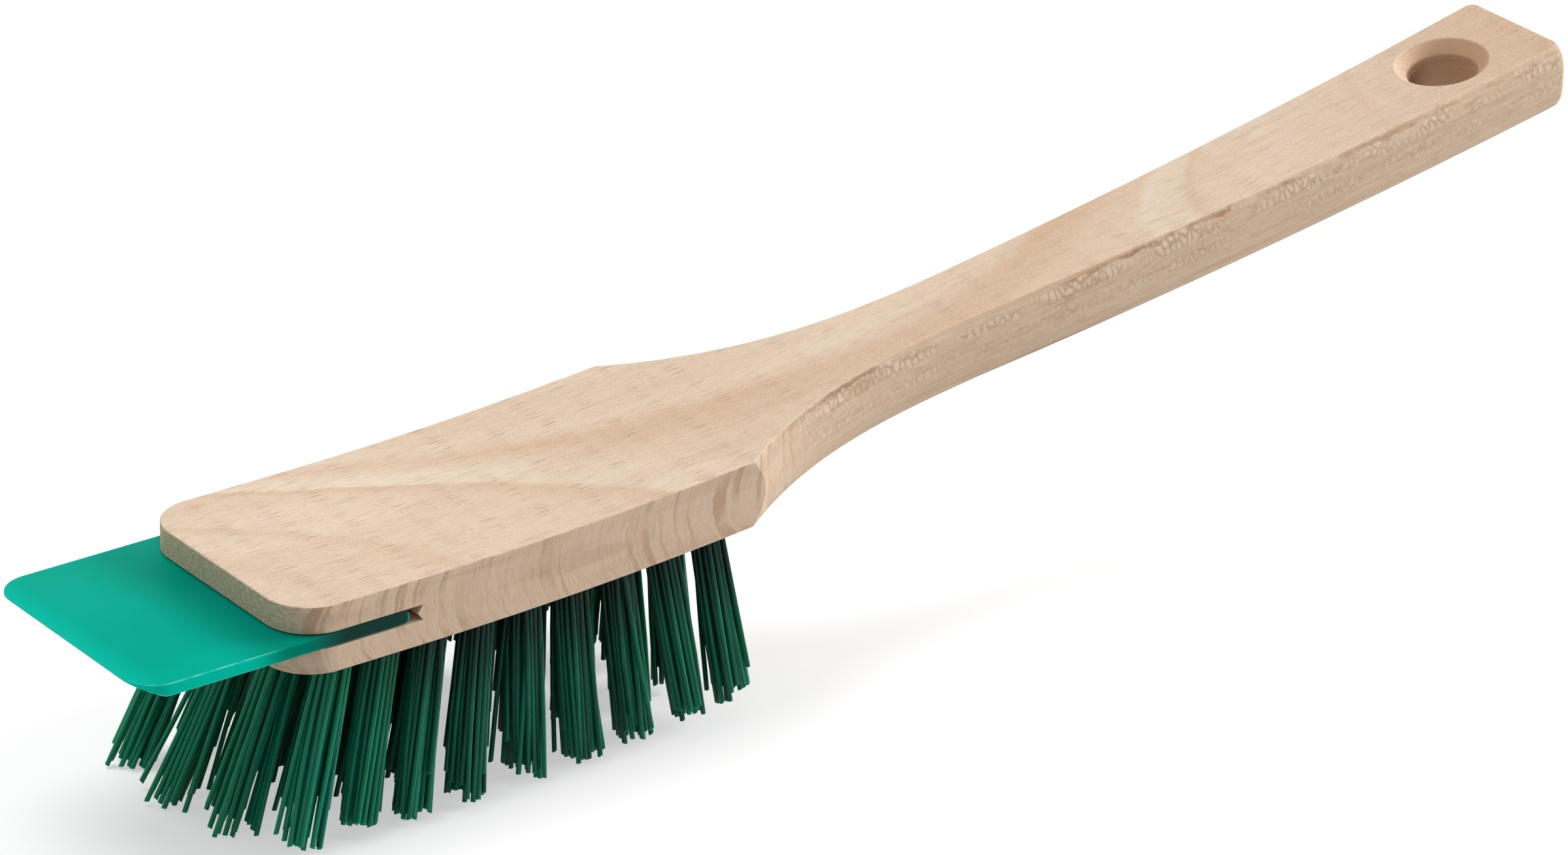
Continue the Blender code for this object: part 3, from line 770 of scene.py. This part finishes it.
def ring_tone(f, board):
    """Growth rings that slant across the head, sink to a valley along the neck and cross the handle."""
    x = board.x
    waver = f.noise(f.stretch(board.place, 30.0, 9.0, 20.0), 3.0, 0.6)
    y = f.maths("MULTIPLY_ADD", f.maths("SUBTRACT", waver, 0.5), RING_WAVER, board.y)
    y_squared = f.maths("POWER", f.maths("ABSOLUTE", y), 2.0)
    bowed = f.maths("MULTIPLY_ADD", y_squared, HEAD_RING_BOW, x)
    slanted = f.maths("MULTIPLY_ADD", y, HEAD_RING_SLANT, bowed)
    head_ring = f.maths("DIVIDE", slanted, f.maths("MULTIPLY_ADD", y, -HEAD_RING_SPREAD, 1.0))
    before = f.maths("POWER", f.maths("MAXIMUM", f.maths("SUBTRACT", VALLEY_X, x), 0.0), 2.0)
    after = f.maths("POWER", f.maths("MAXIMUM", f.maths("SUBTRACT", x, VALLEY_X), 0.0), 2.0)
    beyond = f.maths("MULTIPLY_ADD", after, VALLEY_AFTER, VALLEY_Y)
    valley_y = f.maths("MULTIPLY_ADD", before, VALLEY_BEFORE, beyond)
    slant = f.maths("MULTIPLY_ADD", y_squared, HANDLE_RING_BOW, f.maths("MULTIPLY", y, HANDLE_RING_SLANT))
    handle_ring = f.maths("SUBTRACT", x, f.maths("MULTIPLY", slant, f.span(x, 250.0, 320.0, 1.0, 0.35)))
    valley_tone = f.profile(f.maths("SUBTRACT", y, valley_y), VALLEY_RINGS)
    tone = f.blend(f.span(head_ring, 86.0, 104.0), f.profile(head_ring, HEAD_RINGS), valley_tone)
    return f.blend(f.span(handle_ring, 247.0, 251.5), tone, f.profile(handle_ring, HANDLE_RINGS))


def pore_mask(f, board):
    """Short dark pores along the grain, coarse and fine, fainter on the handle."""
    across = f.maths("MULTIPLY_ADD", board.bands, 6.0, f.maths("DIVIDE", board.y, 0.40))
    gap, drawn = f.flat_cells(f.maths("DIVIDE", board.x, 12.0), across)
    coarse = f.maths("MULTIPLY", f.span(gap, 0.24, 0.12), f.span(drawn, 0.66, 0.98))
    fine_across = f.maths("MULTIPLY_ADD", board.bands, 9.0, f.maths("DIVIDE", board.y, 0.30))
    gap, drawn = f.flat_cells(f.maths("DIVIDE", board.x, 6.0), fine_across)
    fine = f.maths("MULTIPLY", f.span(gap, 0.24, 0.10), f.span(drawn, 0.50, 1.0, 0.0, 0.55))
    return f.maths("MULTIPLY", f.maths("MAXIMUM", coarse, fine), f.span(board.x, 110.0, 190.0, 0.66, 0.42))


def flat_face(f, board, pores):
    """Top and bottom: the rings' tone, then soft bands and wisps, fine mottled fibre and the pores."""
    wisps = f.noise(f.stretch(board.place, 34.0, 3.2, 12.0), 3.0, 0.6, 0.8)
    warmth = f.noise(f.stretch(board.place, 75.0, 45.0, 60.0), 1.0)
    face = f.blend(ring_tone(f, board), srgb(244, 227, 204), srgb(220, 184, 152))
    face = f.blend(f.span(board.bands, 0.40, 0.68, 0.0, 0.35), face, srgb(222, 198, 176))
    face = f.blend(f.span(warmth, 0.38, 0.60, 0.0, 0.25), face, srgb(222, 190, 160))
    face = f.blend(f.span(wisps, 0.52, 0.70, 0.0, 0.30), face, srgb(209, 176, 148))
    face = f.blend(f.span(board.fibre, 0.42, 0.70, 0.0, 0.50), face, srgb(198, 166, 138))
    face = f.blend(f.span(board.speck, 0.50, 0.70, 0.0, 0.38), face, srgb(250, 240, 226))
    return f.blend(pores, face, srgb(146, 102, 72))


def head_side(f, board):
    """Growth rings that stand upright and bulge forwards, in groups, with fine upright lines."""
    sway = f.noise(f.stretch(board.place, 11.0, 20.0, 6.0), 2.0, 0.5)
    bulge = f.maths("POWER", f.maths("SUBTRACT", board.depth, SIDE_RING_MIDDLE), 2.0)
    swayed = f.maths("MULTIPLY_ADD", sway, SIDE_RING_SWAY, board.x)
    ring_x = f.maths("MULTIPLY_ADD", bulge, -SIDE_RING_BULGE, swayed)
    upright = f.put("CombineXYZ", {0: ring_x, 1: board.y, 2: board.depth}).outputs[0]
    phase = f.noise(f.stretch(upright, 2.1, 60.0, 60.0), 1.0, 0.4)
    group = f.noise(f.stretch(upright, 9.0, 60.0, 9.0), 2.0, 0.5)
    fuzz = f.noise(f.stretch(board.place, 0.5, 0.5, 1.2), 2.0, 0.7)
    phase = f.maths("MULTIPLY_ADD", f.maths("SUBTRACT", fuzz, 0.5), 0.16, phase)
    rings = f.maths("MULTIPLY", f.span(phase, 0.49, 0.62), f.span(group, 0.36, 0.62, 0.15, 1.0))
    lines = f.noise(f.stretch(upright, 0.26, 40.0, 5.0), 2.0, 0.65)
    streak = f.noise(f.stretch(board.place, 42.0, 20.0, 4.2), 2.0, 0.5, 0.5)
    side = f.blend(rings, srgb(223, 196, 169), srgb(195, 161, 133))
    side = f.blend(f.span(streak, 0.50, 0.70, 0.0, 0.40), side, srgb(190, 160, 135))
    side = f.blend(f.span(lines, 0.46, 0.72, 0.0, 0.48), side, srgb(186, 155, 129))
    return f.blend(f.span(board.mottle, 0.54, 0.76, 0.0, 0.42), side, srgb(240, 222, 204))


def handle_side(f, board):
    """Layers that run along the handle, with fibre and a pale mottle."""
    layers = f.noise(f.stretch(board.place, 22.0, 6.0, 0.8), 3.0, 0.6)
    side = f.blend(f.span(layers, 0.35, 0.7), srgb(215, 190, 163), srgb(202, 174, 146))
    side = f.blend(f.span(board.fibre, 0.44, 0.74, 0.0, 0.40), side, srgb(186, 154, 126))
    return f.blend(f.span(board.mottle, 0.52, 0.75, 0.0, 0.35), side, srgb(234, 214, 193))


def ray_flecks(f, board, side):
    """Two strips of pale, outlined cells along the handle, a brown line at its edge, and blotches."""
    depth = board.depth
    upper_strip = f.maths("MULTIPLY", f.span(depth, 0.3, 1.1), f.span(depth, 4.8, 3.2))
    lower_strip = f.maths("MULTIPLY", f.span(depth, 5.4, 6.6), f.span(depth, 9.6, 7.8, 0.0, 0.6))
    flecked = f.maths("MULTIPLY", board.on_handle, board.beside_hole)
    strip = f.maths("MULTIPLY", f.maths("ADD", upper_strip, lower_strip), flecked)
    wobble = f.noise(f.stretch(board.place, 3.0, 3.0, 1.6), 2.0, 0.6)
    cell_x = f.maths("MULTIPLY_ADD", wobble, 0.9, f.maths("DIVIDE", board.x, 1.7))
    cell_depth = f.maths("MULTIPLY_ADD", wobble, 0.8, f.maths("DIVIDE", depth, 2.7))
    cell_place = f.put("CombineXYZ", {0: cell_x, 1: cell_depth}).outputs[0]
    settings = {"voronoi_dimensions": "2D", "feature": "DISTANCE_TO_EDGE"}
    cells = f.put("TexVoronoi", {"Vector": cell_place, "Scale": 1.0}, **settings).outputs["Distance"]
    strength = f.noise(f.stretch(board.place, 13.0, 9.0, 3.5), 2.0, 0.5)
    pale = f.maths("MULTIPLY", f.span(cells, 0.06, 0.34, 0.0, 0.50), strip)
    side = f.blend(f.maths("MULTIPLY", pale, f.span(strength, 0.36, 0.55)), side, srgb(224, 208, 189))
    outline = f.maths("MULTIPLY", f.span(cells, 0.26, 0.0, 0.0, 0.42), strip)
    side = f.blend(f.maths("MULTIPLY", outline, f.span(strength, 0.36, 0.62)), side, srgb(160, 122, 92))
    line_depth = f.maths("MULTIPLY_ADD", wobble, 1.8, -0.1)
    from_line = f.maths("ABSOLUTE", f.maths("SUBTRACT", depth, line_depth))
    edge_line = f.maths("MULTIPLY", f.span(from_line, 0.75, 0.1), flecked)
    line_strength = f.noise(f.stretch(board.place, 10.0, 30.0, 30.0), 2.0, 0.6)
    edge_line = f.maths("MULTIPLY", edge_line, f.span(line_strength, 0.34, 0.56, 0.0, 0.75))
    side = f.blend(edge_line, side, srgb(150, 106, 70))
    blotch = f.noise(f.stretch(board.place, 6.5, 9.0, 1.9), 3.0, 0.6, 0.5)
    blotch = f.maths("MULTIPLY", f.span(blotch, 0.52, 0.70, 0.0, 0.50), flecked)
    blotch = f.maths("MULTIPLY", blotch, f.span(depth, 8.0, 2.0, 0.35, 1.0))
    return f.blend(blotch, side, srgb(176, 138, 104))


def end_grain(f, board):
    """The front and the handle's end: darker and finely speckled."""
    grain = f.span(f.noise(f.stretch(board.place, 1.0, 1.4, 0.5), 3.0, 0.6), 0.35, 0.7)
    near_end = f.blend(grain, srgb(226, 204, 176), srgb(196, 168, 138))
    far_end = f.blend(grain, srgb(206, 176, 146), srgb(178, 146, 116))
    return f.blend(f.span(board.x, 300.0, 340.0), near_end, far_end)


def hole_wall(f, board, side):
    """The hanging hole's wall, with painted shadow darker on the side towards the head."""
    x = board.x
    in_hole = f.maths("SUBTRACT", 1.0, board.beside_hole)
    in_hole = f.maths("MULTIPLY", in_hole, f.span(x, WAIST_X / MM, WAIST_X / MM + 40.0))
    in_hole = f.maths("MULTIPLY", in_hole, f.span(x, END_FACE / MM, END_FACE / MM - 1.0))
    side = f.blend(f.maths("MULTIPLY", in_hole, 0.75), side, srgb(204, 162, 128))
    # Painted shadow in the bore: darker towards the head's side and further below the rim
    middle = (LENGTH - HOLE_FROM_END) / MM
    below_rim = f.span(board.depth, 2.4, 4.2, 0.0, 0.85)
    painted_bore_shadow = f.maths("MULTIPLY", f.span(x, middle + 4.0, middle - 5.0), below_rim)
    return f.blend(f.maths("MULTIPLY", in_hole, painted_bore_shadow), side, srgb(126, 88, 62))


def beech():
    f = Finish("beech_wood")
    board = Board(f)
    pores = pore_mask(f, board)
    normal = f.put("SeparateXYZ", {0: f.put("NewGeometry").outputs["Normal"]})
    facing_end = f.maths("ABSOLUTE", normal.outputs[0])
    facing_up = f.maths("ABSOLUTE", normal.outputs[2])
    side = f.blend(board.on_handle, head_side(f, board), handle_side(f, board))
    side = ray_flecks(f, board, side)
    side = f.blend(f.span(facing_end, 0.55, 0.9), side, end_grain(f, board))
    side = hole_wall(f, board, side)
    colour = f.blend(f.span(facing_up, 0.60, 0.85), side, flat_face(f, board, pores))
    height = f.maths("MULTIPLY_ADD", pores, -1.0, f.maths("MULTIPLY", board.fibre, 0.6))
    height = f.maths("MULTIPLY_ADD", board.speck, 0.3, height)
    f.feed(f.surface.inputs["Base Color"], colour)
    f.feed(f.surface.inputs["Roughness"], f.span(board.fibre, 0.3, 0.7, 0.58, 0.72))
    f.feed(f.surface.inputs["Normal"], f.bump(height, 0.09 * MM, 0.7))
    f.surface.inputs["Specular IOR Level"].default_value = 0.25
    return f.material


# Plastics


def plate_plastic():
    """Light passes through the plate where it is free, and painted shade darkens its edge where the wood
    hides it.
    """
    f = Finish("scraper_plastic_finish")
    place = f.board_place()
    x, y = f.put("SeparateXYZ", {0: place}).outputs[:2]
    cloud = f.noise(f.stretch(place, 30.0, 30.0, 30.0), 2.0)
    colour = f.blend(f.span(cloud, 0.3, 0.7), srgb(0, 166, 143), srgb(0, 174, 151))
    # Painted shadow of the head: the plate is darker near the head's front, fading towards the far side
    shaded = f.maths("MULTIPLY", f.span(x, -17.0, 1.0, 0.0, 0.65), f.span(y, 30.0, 4.0, 0.15, 1.0))
    colour = f.blend(shaded, colour, srgb(0, 108, 92))
    # Painted light: the thin front is painted lighter where light passes through it, the sides are painted
    # lighter against their shade, and the top's rim has a broken painted highlight line
    front = -PLATE_REACH / MM
    colour = f.blend(f.span(x, front + 8.0, front, 0.0, 0.8), colour, srgb(0, 186, 166))
    normal = f.put("SeparateXYZ", {0: f.put("NewGeometry").outputs["Normal"]})
    level = f.maths("ABSOLUTE", normal.outputs[2])
    free = f.span(x, -1.0, -12.0)
    # Painted light on the free sides, lighter to make up for their shade
    colour = f.blend(f.maths("MULTIPLY", f.span(level, 0.7, 0.2, 0.0, 0.85), free), colour, srgb(0, 204, 180))
    # Painted highlight along the top's rounded rim, broken by noise
    rim = f.maths("MULTIPLY", f.span(level, 0.15, 0.45), f.span(level, 0.99, 0.85))
    broken = f.span(f.noise(f.stretch(place, 5.0, 5.0, 5.0), 2.0), 0.40, 0.60, 0.15, 0.6)
    colour = f.blend(f.maths("MULTIPLY", f.maths("MULTIPLY", rim, broken), free), colour, srgb(170, 232, 218))
    # Painted shade: the plate's edge darkens inside the slot, where the wood hides it
    colour = f.blend(f.span(x, 1.0, 14.0), colour, srgb(30, 66, 60))
    f.feed(f.surface.inputs["Base Color"], colour)
    haze = f.noise(f.stretch(place, 1.5, 1.5, 1.5), 3.0)
    f.feed(f.surface.inputs["Roughness"], f.span(haze, 0.3, 0.7, 0.34, 0.42))
    ripple = f.noise(f.stretch(place, 6.0, 6.0, 6.0), 2.0)
    f.feed(f.surface.inputs["Normal"], f.bump(ripple, 0.05 * MM, 0.4))
    f.surface.inputs["Subsurface Weight"].default_value = 0.5
    f.surface.inputs["Subsurface Radius"].default_value = (0.1, 1.0, 0.8)
    f.surface.inputs["Subsurface Scale"].default_value = 4.0 * MM
    f.surface.inputs["Specular IOR Level"].default_value = 0.01
    return f.material


def bristle_plastic(name, pale, deep):
    """Each filament has its own shade of green; painted shade darkens its root, painted light lightens the
    tufts in front, and faint painted highlight lines run along it.
    """
    f = Finish(name)
    shade = f.put("Attribute", attribute_name=SHADE).outputs["Fac"]
    place = f.put("Attribute", attribute_name=BUNDLE_PLACE).outputs["Vector"]
    along = f.put("SeparateXYZ", {0: place}).outputs[2]
    drift = f.noise(f.stretch(place, 0.9, 0.9, 30.0), 2.0)
    colour = f.blend(f.maths("MULTIPLY_ADD", f.maths("SUBTRACT", drift, 0.5), 0.8, shade), deep, pale)
    # Painted shade under the board: darker towards each filament's root
    colour = f.blend(f.span(along, 3.0, 28.0, 0.92, 0.0), colour, srgb(0, 24, 18))
    # Painted light: the front tufts are painted lighter, as if lit through
    board_x = f.put("SeparateXYZ", {0: f.board_place()}).outputs[0]
    colour = f.blend(f.span(board_x, 46.0, -14.0, 0.0, 0.85), colour, srgb(0, 152, 116))
    # Painted highlight: faint pale lines along each filament
    line = f.noise(f.stretch(place, 0.16, 0.16, 9.0), 2.0)
    colour = f.blend(f.span(line, 0.60, 0.70, 0.0, 0.36), colour, srgb(80, 150, 132))
    f.feed(f.surface.inputs["Base Color"], colour)
    grain = f.noise(f.stretch(place, 0.3, 0.3, 3.0), 2.0)
    f.feed(f.surface.inputs["Roughness"], f.span(grain, 0.3, 0.7, 0.30, 0.42))
    f.surface.inputs["Subsurface Weight"].default_value = 1.0
    f.surface.inputs["Subsurface Radius"].default_value = (0.1, 1.0, 0.7)
    f.surface.inputs["Subsurface Scale"].default_value = 2.0 * MM
    f.surface.inputs["Specular IOR Level"].default_value = 0.15
    return f.material


# Studio


def make_camera():
    a, e, roll = CAMERA_AZIMUTH, CAMERA_ELEVATION, CAMERA_ROLL
    back = Vector((math.sin(a) * math.cos(e), -math.cos(a) * math.cos(e), math.sin(e)))
    level = Vector((math.cos(a), math.sin(a), 0.0))
    upward = back.cross(level)
    right = level * math.cos(roll) + upward * math.sin(roll)
    up = upward * math.cos(roll) - level * math.sin(roll)
    place = ORIGIN + CAMERA_TARGET + back * CAMERA_DISTANCE
    place += right * CAMERA_SLIDE_RIGHT
    place += up * CAMERA_SLIDE_UP
    data = bpy.data.cameras.new("camera")
    data.lens = LENS
    data.sensor_width = SENSOR
    camera = bpy.data.objects.new("camera", data)
    camera.matrix_world = Matrix.Translation(place) @ Matrix((right, up, back)).transposed().to_4x4()
    bpy.context.scene.collection.objects.link(camera)
    bpy.context.scene.camera = camera


def add_area_light(name, place, target, size, power):
    data = bpy.data.lights.new(name, "AREA")
    data.shape = "DISK"
    data.size = size
    data.energy = power
    lamp = bpy.data.objects.new(name, data)
    lamp.location = place
    lamp.rotation_euler = (Vector(place) - Vector(target)).to_track_quat("Z", "Y").to_euler()
    bpy.context.scene.collection.objects.link(lamp)


def make_floor():
    """A pale floor that lifts itself to white where it is seen, more so far from the brush."""
    shape = bmesh.new()
    bmesh.ops.create_circle(shape, cap_ends=True, segments=64, radius=FLOOR_RADIUS)
    f = Finish("white_floor")
    f.feed(f.surface.inputs["Base Color"], (FLOOR_GREY, FLOOR_GREY, FLOOR_GREY, 1.0))
    f.feed(f.surface.inputs["Roughness"], 0.9)
    f.surface.inputs["Specular IOR Level"].default_value = 0.0
    f.surface.inputs["Emission Color"].default_value = (1.0, 1.0, 1.0, 1.0)
    place = f.put("TexCoord").outputs["Object"]
    from_brush = f.put("VectorMath", {0: place}, operation="LENGTH").outputs["Value"]
    lift = f.span(from_brush, NEAR_FLOOR, FAR_FLOOR, FLOOR_LIFT, FLOOR_LIFT + FAR_LIFT)
    f.feed(f.surface.inputs["Emission Strength"], f.maths("MULTIPLY", f.seen_share(), lift))
    floor = finish_mesh("floor", shape, f.material)


def make_world():
    """White surroundings where they are seen, and a soft light everywhere else."""
    world = bpy.data.worlds.new("studio")
    bpy.context.scene.world = world
    world.use_nodes = True
    n = Nodes(world.node_tree)
    background = n.tree.nodes["Background"]
    background.inputs["Color"].default_value = (1.0, 1.0, 1.0, 1.0)
    strengths = {"Value": n.seen_share(), "To Min": WORLD_LIGHT, "To Max": 1.0}
    n.feed(background.inputs["Strength"], n.put("MapRange", strengths).outputs[0])


def make_studio():
    bpy.context.scene.view_settings.view_transform = "Standard"
    make_floor()
    make_world()
    add_area_light("overhead", OVERHEAD_PLACE, OVERHEAD_TARGET, OVERHEAD_SIZE, OVERHEAD_POWER)
    add_area_light("from the right", RIGHT_PLACE, RIGHT_TARGET, RIGHT_SIZE, RIGHT_POWER)


make_camera()
make_studio()
make_body(beech())
make_plate(plate_plastic())
bristle = bristle_plastic("bristle_plastic_finish", srgb(0, 118, 91), srgb(0, 78, 60))
# The cut ends take paler greens: partly the whitish cut plastic, partly painted highlight where the ends
# catch light
bristle_cut = bristle_plastic("bristle_cut_finish", srgb(50, 160, 132), srgb(10, 124, 98))
for tuft in TUFTS:
    make_tuft(tuft, bristle, bristle_cut)
